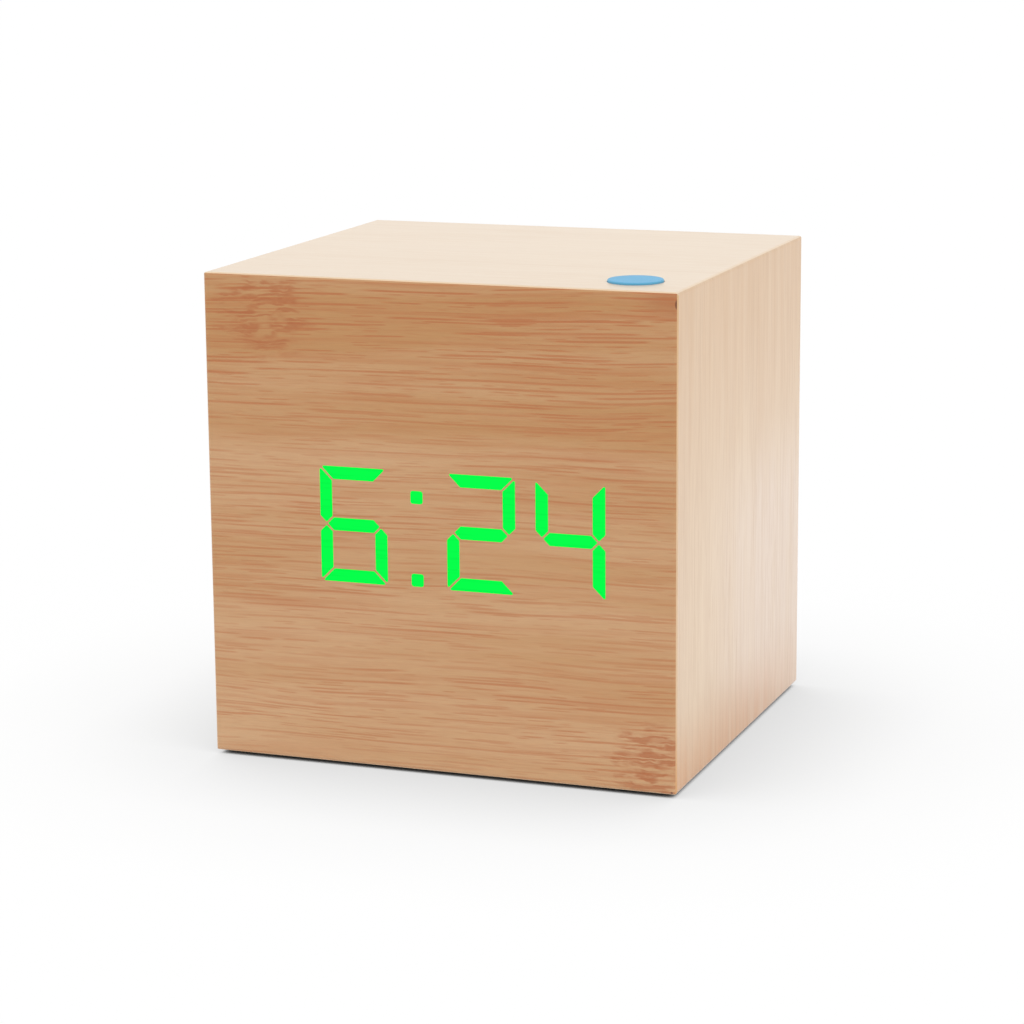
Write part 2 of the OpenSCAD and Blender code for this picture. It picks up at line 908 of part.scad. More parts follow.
module power_socket_pin() {
    color("gold") {
        bar(jack_x, key_z, pin_root_d, jack_floor - pin_root, jack_floor);
        bar(jack_x, key_z, jack_pin_d, jack_floor, jack_mouth - pin_short);
    }
}

module key_switches() {
    color("dimgray")
        for (x = key_xs)
            translate([x, main_rear, key_z])
                rotate([-90, 0, 0])
                    switch_body(key_travel);
}

// A key: cap, flange inside the cover and a foot on the switch, with a raised mark on its face
module key_cap(x) {
    flange_rear = cover_in - flange_play;
    flange_front = flange_rear - flange_t;
    face = cover_out + key_proud;
    flange_r = key_d / 2 + flange_w;
    translate([x, 0, key_z]) {
        rotate([-90, 0, 0])
            rotate_extrude()
                polygon([
                    [0, key_back], [plunger_d / 2, key_back], [plunger_d / 2, flange_front],
                    [flange_r, flange_front], [flange_r, flange_rear], [key_d / 2, flange_rear],
                    [key_d / 2, face - key_edge], [key_d / 2 - key_edge, face], [0, face]
                ]);
        slab(face, face + mark_t)
            children();
    }
}

// An arrow head inside the key's face
module arrow_mark(up) {
    rotate(up ? 90 : -90)
        circle(key_d * mark_share, $fn = 3);
}

module set_key() {
    color("gray")
        key_cap(key_xs[0])
            circle(d = key_d * mark_share);
}

module up_key() {
    color("gray")
        key_cap(key_xs[1])
            arrow_mark(true);
}

module down_key() {
    color("gray")
        key_cap(key_xs[2])
            arrow_mark(false);
}

module key_plunger(x) {
    color("black")
        translate([x, main_rear, key_z])
            rotate([-90, 0, 0])
                switch_plunger();
}

module set_plunger() {
    key_plunger(key_xs[0]);
}

module up_plunger() {
    key_plunger(key_xs[1]);
}

module down_plunger() {
    key_plunger(key_xs[2]);
}

// The door turns on two pins at its lower edge, which is rounded about them
module battery_door() {
    grip_w = 14;
    grip_h = 0.6;
    grip_step = 1.6;
    grip_edge = 1;
    color("darkslategray")
        difference() {
            union() {
                block([-door_w, cover_out - door_t, hinge_z], [door_w, cover_out, door_hi]);
                translate([-door_w, hinge_y, hinge_z])
                    rotate([0, 90, 0])
                        cylinder(d = door_t, h = 2 * door_w);
                translate([-open_w - hinge_pin_l + screw_fit, hinge_y, hinge_z])
                    rotate([0, 90, 0])
                        cylinder(d = hinge_pin_d, h = 2 * (open_w + hinge_pin_l - screw_fit));
            }
            for (i = [1:4])
                translate([0, cover_out, door_hi - grip_edge - i * grip_step])
                    cube([grip_w, grip_h, grip_h], center = true);
        }
}

// Cells are stacked from the bottom and turned about by turns: which way a cell's nub points
function nub_side(i) = i % 2 == 0 ? 1 : -1;
function cell_z(i) = bay_lo + cell_gap + cell_d / 2 + i * cell_pitch;

// Half of a cell's section, from its nub's face to its flat end
cell_edge = 0.6;
cell_section = [
    [0, 0], [nub_d / 2, 0], [nub_d / 2, nub_l], [cell_d / 2 - cell_edge, nub_l],
    [cell_d / 2, nub_l + cell_edge], [cell_d / 2, cell_l - cell_edge],
    [cell_d / 2 - cell_edge, cell_l], [0, cell_l]
];

module battery_cells() {
    color("goldenrod")
        for (i = [0:cell_count - 1])
            translate([nub_side(i) * (bay_half - strip_t), cell_y, cell_z(i)])
                rotate([0, -90 * nub_side(i), 0])
                    rotate_extrude()
                        polygon(cell_section);
}

// Round tube along a line of points, as one closed surface
function along(points, i) =
    let (d = points[min(i + 1, len(points) - 1)] - points[max(i - 1, 0)]) d / norm(d);

function ring_points(at, way, r, sides) =
    let (
        u = cross(way, [1, 0, 0]) / norm(cross(way, [1, 0, 0])),
        v = cross(way, u)
    ) [for (k = [0:sides - 1]) at + r * (cos(360 * k / sides) * u + sin(360 * k / sides) * v)];

module tube(points, d, sides) {
    n = len(points);
    skin = [for (i = [0:n - 1]) each ring_points(points[i], along(points, i), d / 2, sides)];
    walls = [for (i = [0:n - 2], k = [0:sides - 1])
        let (a = i * sides + k, b = i * sides + (k + 1) % sides)
            each [[a, a + sides, b], [b, a + sides, b + sides]]];
    first = [for (k = [1:sides - 2]) [0, k, k + 1]];
    last = [for (k = [1:sides - 2]) (n - 1) * sides * [1, 1, 1] + [0, k + 1, k]];
    polyhedron(skin, concat(walls, first, last));
}

// A contact spring narrows from its strip to the cell's flat end
spring_wire = 0.6;
spring_base_r = 3.6;
spring_tip_r = 2.1;
spring_turns = 2.5;
spring_rings = 12;
spring_rise = spring_l - spring_wire;

function spring_point(t) =
    let (r = spring_base_r + (spring_tip_r - spring_base_r) * t, a = 360 * spring_turns * t)
        [spring_wire / 2 + spring_rise * t, r * cos(a), r * sin(a)];

spring_points = [for (i = [0:spring_turns * spring_rings]) spring_point(i / (spring_turns * spring_rings))];
spring_gap = min([for (i = [0:len(spring_points) - 1], j = [0:len(spring_points) - 1])
    if (j - i > spring_rings / 2) norm(spring_points[i] - spring_points[j])]) - spring_wire;
echo(least_gap_between_spring_turns = spring_gap);

module battery_springs() {
    color("silver")
        for (i = [0:cell_count - 1])
            translate([-nub_side(i) * (bay_half - strip_t), cell_y, cell_z(i)])
                rotate([0, 0, nub_side(i) == 1 ? 0 : 180])
                    tube(spring_points, spring_wire, 6);
}

// A strip at one end of the bay, from one cell to the same or the next one
module strip(side, low, high) {
    block([side * (bay_half - strip_t / 2) - strip_t / 2, cell_y - strip_w / 2, cell_z(low) - strip_w / 2],
        [side * (bay_half - strip_t / 2) + strip_t / 2, cell_y + strip_w / 2, cell_z(high) + strip_w / 2]);
}

// The solder tail of the battery's end on one side, through the bay's floor
function tail_z(side) = cell_z(side == 1 ? cell_count - 1 : 0);

module tail(side, grow) {
    block([side * (bay_half - strip_t / 2) - strip_t / 2 - grow, tail_end, tail_z(side) - tail_w / 2 - grow],
        [side * (bay_half - strip_t / 2) + strip_t / 2 + grow, cell_y, tail_z(side) + tail_w / 2 + grow]);
}

module battery_strips() {
    color("silver") {
        strip(-1, 0, 0);
        strip(1, 0, 1);
        strip(-1, 1, 2);
        strip(1, 2, 2);
        for (side = [-1, 1])
            tail(side, 0);
    }
}

// A smooth curve between two points with a pull at each end
function curve_point(p, t) =
    pow(1 - t, 3) * p[0] + 3 * t * pow(1 - t, 2) * p[1] + 3 * t * t * (1 - t) * p[2] + pow(t, 3) * p[3];

function curve(p, steps) = [for (i = [0:steps]) curve_point(p, i / steps)];

// Leads and cable leave their joints straight, over a short stub, and then bend
lead_stub = 1;
lead_pull = 10;
lead_drop = 8;
snooze_lead_d = 1.2 * lead_d;

// The flat cable in side view, from the display's socket to the main board's
ribbon_start = display_back + socket_d;
ribbon_end = main_front - socket_d;
ribbon_pull = (ribbon_end - ribbon_start) * 0.45;
ribbon_line = concat(
    [[ribbon_start, ribbon_z]],
    curve([
        [ribbon_start + lead_stub, ribbon_z], [ribbon_start + ribbon_pull, ribbon_z],
        [ribbon_end - ribbon_pull, key_z], [ribbon_end - lead_stub, key_z]
    ], 24),
    [[ribbon_end, key_z]]
);

function beside(points, i, by) =
    let (d = along(points, i)) points[i] + by * [-d[1], d[0]];

module ribbon_cable() {
    last = len(ribbon_line) - 1;
    upper = [for (i = [0:last]) beside(ribbon_line, i, ribbon_t / 2)];
    lower = [for (i = [0:last]) beside(ribbon_line, last - i, -ribbon_t / 2)];
    color("lightgray")
        translate([socket_x - ribbon_w / 2, 0, 0])
            rotate([90, 0, 90])
                linear_extrude(ribbon_w)
                    polygon(concat(upper, lower));
}

module ribbon_sockets() {
    color("ivory") {
        block([socket_x - socket_w / 2, display_back, ribbon_z - socket_h / 2],
            [socket_x + socket_w / 2, ribbon_start, ribbon_z + socket_h / 2]);
        block([socket_x - socket_w / 2, ribbon_end, key_z - socket_h / 2],
            [socket_x + socket_w / 2, main_front, key_z + socket_h / 2]);
    }
}

// A round lead between two joints that it leaves along two ways, with a pull along each
module lead(from, from_way, from_pull, to, to_way, to_pull, d) {
    bend = curve([
        from + lead_stub * from_way, from + from_pull * from_way,
        to + to_pull * to_way, to + lead_stub * to_way
    ], 20);
    tube(concat([from], bend, [to]), d, 8);
}

// A lead from a solder tail, away from the bay and up to the main board's front
module battery_lead(side, end_x) {
    from = [side * (bay_half - strip_t / 2), tail_end - lead_gap, tail_z(side)];
    to = [end_x, main_front - lead_gap, key_z - lead_row];
    lead(from, [0, -1, 0], lead_pull, to, [0, -1, 0], 2 * lead_drop, lead_d);
}

module red_lead() {
    color("red")
        battery_lead(1, buzzer_x / 2);
}

module black_lead() {
    color("black")
        battery_lead(-1, socket_x - socket_w / 3);
}

// The snooze switch's lead, from the end of its board to the main board's front
module snooze_lead() {
    from = [snooze_x - snooze_pcb_left + lead_d, snooze_y, snooze_pcb_top - pcb_t - lead_gap];
    to = [buzzer_x / 2, main_front - lead_gap, key_z + lead_row];
    color("white")
        lead(from, [0, 0, -1], lead_drop, to, [0, -1, 0], 2 * lead_drop, snooze_lead_d);
}

front_veneer();
top_veneer();
left_veneer();
right_veneer();
bottom_veneer();
rear_edge_band();
front_board();
top_board();
bottom_board();
left_board();
right_board();
corner_blocks();
feet();
lit_segments();
unlit_segments();
display_reflector();
display_pcb();
display_leds();
display_driver();
display_screws();
snooze_button();
snooze_ring();
snooze_switch();
snooze_plunger();
snooze_pcb();
snooze_posts();
snooze_screws();
rear_cover();
cover_screws();
main_pcb();
main_pcb_screws();
controller_chip();
clock_crystal();
buzzer();
capacitor();
power_socket();
power_socket_pin();
key_switches();
set_key();
up_key();
down_key();
set_plunger();
up_plunger();
down_plunger();
battery_door();
battery_cells();
battery_springs();
battery_strips();
ribbon_cable();
ribbon_sockets();
red_lead();
black_lead();
snooze_lead();
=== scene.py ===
"""Led cube alarm clock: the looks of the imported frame, in metres."""

import math

import bmesh
import bpy
from mathutils import Matrix, Vector


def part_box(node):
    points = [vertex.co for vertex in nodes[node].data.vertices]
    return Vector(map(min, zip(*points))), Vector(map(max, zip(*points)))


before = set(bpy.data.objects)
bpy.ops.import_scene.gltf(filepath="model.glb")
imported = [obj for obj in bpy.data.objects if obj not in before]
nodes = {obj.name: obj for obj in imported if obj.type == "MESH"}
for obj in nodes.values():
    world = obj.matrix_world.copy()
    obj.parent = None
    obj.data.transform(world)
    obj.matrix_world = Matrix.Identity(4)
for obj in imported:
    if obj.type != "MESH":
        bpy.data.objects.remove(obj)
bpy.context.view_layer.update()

MM = 0.001
TO_MM = 1000.0
WHITE = (1.0, 1.0, 1.0, 1.0)
# What most values of a noise lie between
NOISE_RANGE = (0.3, 0.7)


def srgb(red, green, blue):
    """A colour as it shows on a screen, 0 to 255, as a linear colour."""
    def linear(value):
        value /= 255.0
        return value / 12.92 if value <= 0.04045 else ((value + 0.055) / 1.055) ** 2.4
    return (linear(red), linear(green), linear(blue), 1.0)


def scaled(colour, factor):
    """A linear colour made darker or paler."""
    return tuple(min(1.0, part * factor) for part in colour[:3]) + (1.0,)


# Node materials


class Paint:
    """One node material. Values that vary over the surface are sockets, the rest are numbers.
    Lengths on the surface are in millimetres."""

    def __init__(self, name, **constants):
        """constants are values of the shader's sockets, with _ for the blanks in a socket's name."""
        self.material = bpy.data.materials.new(name)
        self.material.use_nodes = True
        self.tree = self.material.node_tree
        self.shader = self.tree.nodes["Principled BSDF"]
        for socket, value in constants.items():
            self.shader.inputs[socket.replace("_", " ")].default_value = value
        self.at = self.point()

    def feed(self, socket, value):
        """Links a socket to a value that varies, or sets it to a number, vector or colour."""
        if isinstance(value, bpy.types.NodeSocket):
            self.tree.links.new(value, socket)
        else:
            socket.default_value = value

    def show(self, socket, value):
        """Feeds one of the shader's sockets."""
        self.feed(self.shader.inputs[socket], value)

    def node(self, kind, inputs=(), **settings):
        """A new node with its settings made and its sockets fed."""
        made = self.tree.nodes.new("ShaderNode" + kind)
        for key, value in settings.items():
            setattr(made, key, value)
        for key, value in dict(inputs).items():
            self.feed(made.inputs[key], value)
        return made

    def math(self, operation, *values):
        made = self.node("Math", operation=operation)
        for socket, value in zip(made.inputs, values):
            self.feed(socket, value)
        return made.outputs[0]

    def plus(self, first, second):
        return self.math("ADD", first, second)

    def minus(self, first, second):
        return self.math("SUBTRACT", first, second)

    def times(self, first, second):
        return self.math("MULTIPLY", first, second)

    def over(self, first, second):
        return self.math("DIVIDE", first, second)

    def larger(self, first, second):
        return self.math("MAXIMUM", first, second)

    def rest(self, share):
        """What a share leaves of 1."""
        return self.minus(1.0, share)

    def point(self):
        """The surface's place in millimetres, as x, y and z."""
        place = self.node("TexCoord").outputs["Object"]
        in_mm = self.node("VectorMath", {0: place, 1: (TO_MM,) * 3}, operation="MULTIPLY").outputs[0]
        split = self.node("SeparateXYZ", {0: in_mm})
        return {axis: split.outputs[i] for i, axis in enumerate("xyz")}

    def vector(self, x, y, z):
        return self.node("CombineXYZ", {0: x, 1: y, 2: z}).outputs[0]

    def noise(self, vector, detail=2.0, rough=0.5, waves=1.0):
        inputs = {"Vector": vector, "Scale": waves, "Detail": detail, "Roughness": rough}
        return self.node("TexNoise", inputs).outputs[0]

    def cloud(self, waves, detail=2.0, rough=0.5):
        """Noise that is alike in all directions, with a number of waves per millimetre."""
        return self.noise(self.vector(**self.at), detail, rough, waves)

    def stretched(self, u, v, along, across, seed, detail=2.0, rough=0.5):
        """Noise with its own number of waves per millimetre along and across the grain."""
        return self.noise(self.vector(self.times(u, along), self.times(v, across), seed), detail, rough)

    def step(self, value, low, high):
        """Turns smoothly from 0 at low to 1 at high, whichever of them is the greater."""
        inputs = {"Value": value, "From Min": low, "From Max": high}
        return self.node("MapRange", inputs, interpolation_type="SMOOTHSTEP").outputs[0]

    def span(self, value, low, high):
        """Spreads a value of 0 to 1 between two numbers."""
        return self.node("MapRange", {"Value": value, "To Min": low, "To Max": high}).outputs[0]

    def mix(self, factor, first, second):
        """Blends two colours: only the first at a factor of 0, only the second at 1."""
        inputs = {"Factor": factor, "A": first, "B": second}
        return self.node("Mix", inputs, data_type="RGBA", clamp_factor=True).outputs["Result"]

    def tinted(self, colour, factor):
        """A colour times a number that varies over the surface."""
        inputs = {0: colour, 1: self.vector(factor, factor, factor)}
        return self.node("VectorMath", inputs, operation="MULTIPLY").outputs[0]

    def bump(self, height, depth_mm, strength):
        """Relief of a height that varies: depth_mm is the depth of a height of 1."""
        made = self.node("Bump", {"Height": height, "Distance": depth_mm * MM, "Strength": strength})
        self.show("Normal", made.outputs[0])


# Bamboo: its fibres and other marks

# How far the fibres stray from straight, slowly and quickly, in mm
SWAY = 3.0
RIPPLE = 0.22
# Distances from a fibre's middle at which it starts to fade and is gone, as shares of its thickness
FIBRE_CORE = 0.2
FIBRE_RIM = 0.6
# Rise of the noise over which a fibre comes up at its ends
FIBRE_END = 0.10
# Step of the noise from one row of fibres to the next
ROW_STRIDE = 5.3
# How far a knot's rim and its flecks stray, in mm
KNOT_STRAY = 16.0
FLECK_BEND = 2.4
# How much of the ground a mark hides; fibres hide more and more where a sheet turns dark
FIBRE_COVER = 0.68
DUSK_COVER = (0.64, 0.86)
KNOT_COVER = 0.70
NICK_COVER = 0.85
# Where a sheet turns dark: shares of its bands and of the turn, and how much the fibres crowd there
DUSK_BANDS = 0.75
DUSK_SHADE = 0.58
DUSK_CROWD = 0.85
# Strength of a fade in its weakest and strongest streaks
FADE_STREAKS = (0.65, 1.25)
# How far the finest grain changes the tone
HAIR_TINT = 0.08
# Relief, in mm, and the marks' parts of it
BAMBOO_DEPTH = 0.03
HAIR_RISE = 0.35
FIBRE_DENT = 0.5
KNOT_DENT = 0.4
NICK_DENT = 0.2


class Wood(Paint):
    """Satin bamboo veneer whose fibres run along one axis. Each noise has a number that sets it apart."""

    def __init__(self, name, along, across, seed, tilt, gloss, upright):
        super().__init__(
            name, Coat_Weight=1.0, Coat_Roughness=0.3, Coat_IOR=1.5, IOR=1.5, Specular_IOR_Level=gloss)
        self.seed = seed
        self.u, self.v = self.at[along], self.at[across]
        if upright:
            beyond = self.math("GREATER_THAN", self.math("ABSOLUTE", self.u), upright)
            self.u, self.v = self.either(beyond, self.u, self.v), self.either(beyond, self.v, self.u)
        sway = self.stretched(self.u, self.v, along=0.016, across=0.05, seed=seed)
        ripple = self.stretched(self.u, self.v, along=0.07, across=0.4, seed=seed + 3)
        level = self.plus(self.v, self.times(self.u, -tilt))
        self.w = self.plus(level, self.plus(self.around(sway, SWAY), self.around(ripple, RIPPLE)))

    def either(self, choice, first, second):
        """The first value where the choice is 0, the second where it is 1."""
        return self.node("Mix", {"Factor": choice, "A": first, "B": second}).outputs["Result"]

    def around(self, value, reach):
        """Spreads a value of 0 to 1 evenly about zero."""
        return self.times(self.minus(value, 0.5), reach)

    def waves(self, along, across, number, detail=2.0, rough=0.5):
        """Noise that follows the fibres."""
        return self.stretched(self.u, self.w, along, across, self.seed + number, detail, rough)

    def spot(self, u0, v0, long, high, stray=0.0):
        """Distance from a place, 1 at the rim of an ellipse of these half sizes."""
        du = self.over(self.plus(self.minus(self.u, u0), stray), long)
        dv = self.over(self.minus(self.v, v0), high)
        return self.math("SQRT", self.plus(self.times(du, du), self.times(dv, dv)))

    def dashes(self, across, pitch, thin, wave, least, number):
        """Thin straight fibres in rows: the rows' distance, the share of it that a fibre takes, the waves
        per millimetre along a row, and the least noise that shows as a fibre."""
        number += self.seed
        place = self.over(across, pitch)
        row = self.math("FLOOR", place)
        moved = self.node("TexWhiteNoise", {"W": self.plus(row, number)}, noise_dimensions="1D")
        middle = self.around(moved.outputs["Value"], 1.0 - thin)
        off = self.minus(self.minus(self.math("FRACT", place), 0.5), middle)
        line = self.rest(self.step(self.math("ABSOLUTE", off), FIBRE_CORE * thin, FIBRE_RIM * thin))
        run = self.stretched(self.u, row, wave, ROW_STRIDE, number, detail=1.0)
        return self.times(line, self.step(run, least, least + FIBRE_END))

    def fibres(self, least):
        """How much of a fibre shows at each place: thin dashes over soft streaks, more where they crowd.
        least is the least that they crowd, 0 to 1."""
        crowd = self.waves(along=0.030, across=0.22, number=9)
        crowd = self.larger(self.step(crowd, low=0.35, high=0.65), least)
        streaks = self.waves(along=0.030, across=1.1, number=13, detail=3.0, rough=0.6)
        specks = self.waves(along=0.22, across=4.2, number=19, detail=1.0)
        # Each layer's strength where the fibres are sparse and where they crowd
        layers = (
            (self.dashes(self.w, pitch=0.75, thin=0.46, wave=0.050, least=0.50, number=23), 0.50, 1.0),
            (self.dashes(self.w, pitch=0.52, thin=0.50, wave=0.085, least=0.53, number=27), 0.46, 0.95),
            (self.dashes(self.w, pitch=0.36, thin=0.62, wave=0.16, least=0.54, number=29), 0.36, 0.72),
            (self.step(streaks, low=0.43, high=0.71), 0.26, 0.64),
            (self.step(specks, low=0.48, high=0.72), 0.12, 0.35),
        )
        shown = 0.0
        for layer, sparse, dense in layers:
            shown = self.larger(shown, self.times(layer, self.span(crowd, sparse, dense)))
        return shown

    def knot(self, number, u0, v0, long, high):
        """Flecks of a growth ring: short bent dashes within a ragged patch."""
        ragged = self.stretched(
            self.u, self.v, along=0.16, across=0.45, seed=self.seed + 31 + number, detail=3.0, rough=0.65)
        far = self.spot(u0, v0, long, high, self.around(ragged, KNOT_STRAY))
        bent = self.plus(self.w, self.around(ragged, FLECK_BEND))
        flecks = self.larger(
            self.dashes(bent, pitch=0.6, thin=0.75, wave=0.24, least=0.42, number=41 + number),
            self.dashes(bent, pitch=0.95, thin=0.7, wave=0.17, least=0.45, number=51 + number))
        holes = self.stretched(self.u, bent, along=0.20, across=0.55, seed=self.seed + 61 + number)
        whole = self.step(holes, low=0.32, high=0.46)
        inside = self.rest(self.step(far, low=0.55, high=1.15))
        return self.times(self.times(flecks, whole), inside)


def bamboo(name, along, across, seed, tones, knots=(), nicks=(), fades=(), dusk=None, tilt=0.0,
           contrast=1.0, gloss=0.5, upright=None):
    """Bamboo sheet. tones: ground, darker band, fibre, knot fibre.
    A knot is (along, across, half length, half height) in mm, and so is a nick in the lacquer.
    A fade is a tone, an amount and spans (axis, from, to) over which the ground turns to that tone,
    in some streaks of the grain more than in others. Fades are used for stains and also for painted glare
    and shade.
    dusk gives two places across the grain between which the ground turns to the darker band and the
    fibres crowd. tilt is the fibres' rise along the grain, gloss the shine of the wood under its lacquer.
    upright is the place along the grain beyond which, on both sides, the grain runs across instead."""
    ground, band, fibre_tone, knot_tone = tones
    p = Wood(name, along, across, seed, tilt, gloss, upright)
    hair = p.waves(along=0.5, across=9.0, number=21)
    bands = p.waves(along=0.012, across=0.16, number=5, detail=3.0, rough=0.55)
    bands = p.step(bands, low=0.30, high=0.74)
    shade = 0.0
    cover = FIBRE_COVER
    if dusk:
        shade = p.step(p.w, *dusk)
        cover = p.span(shade, *DUSK_COVER)
        bands = p.plus(p.times(bands, DUSK_BANDS), p.times(shade, DUSK_SHADE))
    fibre = p.fibres(p.times(shade, DUSK_CROWD))

    colour = p.mix(p.times(bands, contrast), ground, band)
    streaks = p.step(p.waves(along=0.02, across=0.45, number=25, rough=0.6), *NOISE_RANGE)
    # Fades: stains, and glare and shade painted where a side's look comes from the light on it
    for tone, amount, *spans in fades:
        for axis, low, high in spans:
            amount = p.times(p.step(p.at[axis], low, high), amount)
        colour = p.mix(p.times(amount, p.span(streaks, *FADE_STREAKS)), colour, tone)
    colour = p.mix(p.times(fibre, p.times(cover, contrast)), colour, fibre_tone)
    height = p.minus(p.times(hair, HAIR_RISE), p.times(fibre, FIBRE_DENT))
    for number, place in enumerate(knots):
        flecks = p.knot(number, *place)
        colour = p.mix(p.times(flecks, KNOT_COVER * contrast), colour, knot_tone)
        height = p.minus(height, p.times(flecks, KNOT_DENT))
    for place in nicks:
        mark = p.rest(p.step(p.spot(*place), low=0.5, high=1.0))
        colour = p.mix(p.times(mark, NICK_COVER), colour, NICK)
        height = p.minus(height, p.times(mark, NICK_DENT))

    tint = p.span(hair, 1.0 - HAIR_TINT * contrast, 1.0 + HAIR_TINT * contrast)
    p.show("Base Color", p.tinted(colour, tint))
    p.show("Roughness", p.span(fibre, low=0.40, high=0.52))
    p.bump(height, BAMBOO_DEPTH, strength=0.6)
    return p.material


# Ground, darker band, fibre and knot fibre of the veneers: the front's is the darkest sheet.
# The top's and the other sheets' tones are paler partly because they are paler bamboo and partly as painted
# glare of the light on them.
FRONT = (srgb(193, 153, 113), srgb(178, 131, 82), srgb(171, 99, 52), srgb(164, 90, 45))
SIDE = (srgb(219, 191, 155), srgb(205, 169, 130), srgb(197, 160, 121), srgb(190, 150, 110))
RIGHT = (*SIDE[:2], srgb(186, 145, 103), SIDE[3])
TOP = (srgb(223, 196, 160), srgb(219, 190, 153), srgb(209, 174, 134), srgb(196, 156, 116))
PINE = (srgb(206, 172, 128), srgb(216, 186, 144), srgb(188, 144, 98), srgb(168, 120, 78))
# Tones of the fades and the nicks; some of them are glare and shade painted on the right side
# Painted glare: the right side turns duller and browner towards its top
PAINTED_WEAK_GLARE = srgb(202, 159, 106)
# Painted reflection: the floor's shade seen in the right side, low at its front
PAINTED_FLOOR_SHADE = srgb(201, 132, 44)
# Painted glare: the right side's palest patch, low towards its back
PAINTED_GLARE = srgb(220, 195, 172)
DAWN = srgb(202, 165, 127)
STAIN = srgb(160, 92, 52)
NICK = srgb(94, 48, 20)

FRONT_KNOTS = ((-23.5, 59.6, 6.0, 6.4), (29.0, 4.6, 6.0, 5.6))
FRONT_NICKS = ((31.9, 63.0, 0.34, 0.75), (31.4, 0.8, 0.22, 0.18))
FRONT_FADES = (
    (DAWN, 0.5, ("z", 16.0, -4.0)),
    (STAIN, 0.5, ("x", 25.5, 31.0), ("z", 60.4, 62.8)),
)
FRONT_DUSK = (34.0, 62.0)
# Glare and shade painted on the right side: weaker glare towards the top, the palest glare low towards the
# back, and the floor's shade reflected low at the front
RIGHT_PAINTED_GLARE = (
    (PAINTED_WEAK_GLARE, 1.0, ("z", 24.0, 68.0)),
    (PAINTED_GLARE, 1.0, ("z", 44.0, 26.0), ("y", -22.0, 12.0)),
    (PAINTED_FLOOR_SHADE, 0.9, ("z", 13.0, -2.0), ("y", 52.0, -12.0)),
)
LEFT_KNOTS = ((44.0, 12.0, 4.4, 6.0),)
BOTTOM_KNOTS = ((-12.0, 14.0, 4.6, 5.5),)

front_bamboo = bamboo(
    "bamboo_front", along="x", across="z", seed=502.0, tones=FRONT, knots=FRONT_KNOTS, nicks=FRONT_NICKS,
    fades=FRONT_FADES, dusk=FRONT_DUSK, tilt=0.02, gloss=0.0)
right_bamboo = bamboo(
    "bamboo_right", along="z", across="y", seed=23.0, tones=RIGHT, fades=RIGHT_PAINTED_GLARE, contrast=0.62)
left_bamboo = bamboo(
    "bamboo_left", along="z", across="y", seed=61.0, tones=SIDE, knots=LEFT_KNOTS, contrast=0.6)
top_bamboo = bamboo("bamboo_top", along="x", across="y", seed=37.0, tones=TOP, contrast=0.5)
bottom_bamboo = bamboo(
    "bamboo_bottom", along="x", across="y", seed=83.0, tones=SIDE, knots=BOTTOM_KNOTS, contrast=0.6)
rear_bamboo = bamboo(
    "bamboo_rear", along="x", across="z", seed=97.0, tones=SIDE, contrast=0.7,
    upright=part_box("rear_cover")[1].x * TO_MM)
pine = bamboo("sawn_pine", along="y", across="z", seed=53.0, tones=PINE)


# Plastics, metals, boards and cells


def plastic(name, colour, rough, grain_mm, depth_mm, spread=0.12):
    """Moulded plastic with a fine skin: grain_mm is the grain's size and depth_mm its depth.
    spread is how far the tone strays to both sides."""
    p = Paint(name)
    rough_spread = 0.08
    grain = p.cloud(1.0 / grain_mm, rough=0.6)
    tone = p.step(p.cloud(waves=0.11), *NOISE_RANGE)
    p.show("Base Color", p.mix(tone, scaled(colour, 1.0 - spread), scaled(colour, 1.0 + spread)))
    p.show("Roughness", p.span(grain, rough - rough_spread, rough + rough_spread))
    p.bump(grain, depth_mm, strength=0.5)
    return p.material


def metal(name, colour, rough, along="x"):
    """Plated metal with fine drawing marks along one axis."""
    p = Paint(name, Metallic=1.0)
    waves_along = 0.4
    waves_across = 9.0
    dullness = 0.82
    smoother = 0.06
    rougher = 0.10
    first, second = (axis for axis in "xyz" if axis != along)
    marks = p.noise(p.vector(
        p.times(p.at[along], waves_along), p.times(p.at[first], waves_across),
        p.times(p.at[second], waves_across)))
    p.show("Base Color", p.mix(p.step(marks, low=0.35, high=0.7), colour, scaled(colour, dullness)))
    p.show("Roughness", p.span(marks, rough - smoother, rough + rougher))
    p.bump(marks, depth_mm=0.01, strength=0.4)
    return p.material


def glowing(name, colour):
    """Segment that shines evenly through the veneer, with a trace of the grain over it."""
    p = Paint(name, Specular_IOR_Level=0.0, Roughness=0.9, Emission_Strength=1.0)
    dimness = 0.93
    deep = (0.0, 0.010, 0.002, 1.0)
    pale = (0.0, 0.016, 0.003, 1.0)
    grain = p.stretched(p.at["x"], p.at["z"], along=0.08, across=2.4, seed=7.0)
    p.show("Emission Color", p.mix(p.step(grain, low=0.45, high=0.75), colour, scaled(colour, dimness)))
    p.show("Base Color", p.mix(grain, deep, pale))
    return p.material


def keyed(name, colour, paint, edge_mm):
    """Key plastic whose raised mark, beyond a place along Y, is painted."""
    p = Paint(name)
    grain = p.cloud(waves=6.0, rough=0.6)
    raised = p.math("GREATER_THAN", p.at["y"], edge_mm)
    wear = p.span(p.step(grain, low=0.3, high=0.5), low=0.75, high=1.0)
    p.show("Base Color", p.mix(p.times(raised, wear), colour, paint))
    p.show("Roughness", p.span(grain, low=0.38, high=0.52))
    p.bump(grain, depth_mm=0.01, strength=0.5)
    return p.material


